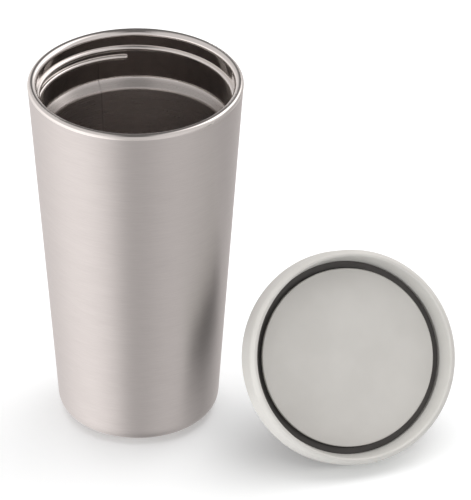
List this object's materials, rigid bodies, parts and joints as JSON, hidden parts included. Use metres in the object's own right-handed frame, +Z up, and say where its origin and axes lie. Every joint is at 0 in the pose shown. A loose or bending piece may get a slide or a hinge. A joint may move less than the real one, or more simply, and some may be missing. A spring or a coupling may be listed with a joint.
{
  "type": "insulated travel mug",
  "caption": "Double-walled steel travel mug, tapered, with its screw lid off and lying on its side; the lid's round top is a press button that opens a drinking channel round it.",
  "frame": {"origin": "centre of the cup's foot pad, on the surface it stands on", "axes": "+Z up the cup's axis; -Y towards the side that the lid faces; +X towards the lid, which lies beside the cup"},
  "size_m": [0.1711, 0.1024, 0.152],
  "materials": {
    "brushed_steel": "stainless steel sheet brushed round the cup",
    "polished_steel": "stainless steel, polished at the lip and electropolished inside",
    "solder_glass": "fused solder glass, dull",
    "getter_alloy": "pressed powder pellet",
    "copper_foil": "thin copper foil, bright",
    "pad_silicone": "matt moulded silicone",
    "seal_silicone": "translucent grey silicone, matt",
    "lid_plastic": "warm light-grey moulded polypropylene, fine matt texture",
    "plug_plastic": "dark-grey moulded polypropylene, smooth",
    "latch_plastic": "white acetal",
    "spring_steel": "stainless spring wire",
    "stem_steel": "turned stainless steel"
  },
  "bodies": {
    "cup": {"outer_shell": "brushed_steel", "inner_liner": "polished_steel", "base_pan": "brushed_steel", "vacuum_seal": "solder_glass", "getter": "getter_alloy", "radiation_foil": "copper_foil", "foot_pad": "pad_silicone"},
    "gasket": {"lid_gasket": "seal_silicone"},
    "lid": {"lid_shell": "lid_plastic", "threaded_plug": "plug_plastic", "guide_spider": "plug_plastic", "cam_sleeve": "latch_plastic", "hub_cap": "latch_plastic", "stem_seal": "seal_silicone", "return_spring": "spring_steel"},
    "button": {"button_disc": "lid_plastic", "stem": "stem_steel", "valve_plate": "plug_plastic", "valve_seal": "seal_silicone", "valve_nut": "stem_steel"},
    "rotor": {"cam_rotor": "latch_plastic"}
  },
  "joints": [
    {"name": "lid_lift", "type": "slide", "parent": "cup", "child": "gasket", "axis": [0, 0, 1], "range_m": [0, 0.2]},
    {"name": "lid_turn", "type": "hinge", "parent": "gasket", "child": "lid", "pos_m": [0.08345, -0.0232, 0.0364], "axis": [0.28, -0.7995, 0.5315], "continuous": true},
    {"name": "button_press", "type": "slide", "parent": "lid", "child": "button", "axis": [-0.28, 0.7995, -0.5315], "range_m": [0, 0.003], "stiffness_N_per_m": 900, "springref_m": -0.004, "deforming": ["return_spring"]},
    {"name": "rotor_turn", "type": "hinge", "parent": "button", "child": "rotor", "pos_m": [0.08103, -0.01629, 0.03181], "axis": [0.28, -0.7995, 0.5315], "range_deg": [0, 46]}
  ],
  "couplings": [
    {"joint": "rotor_turn", "follows": "button_press", "rad_per_m": 261.7}
  ]
}
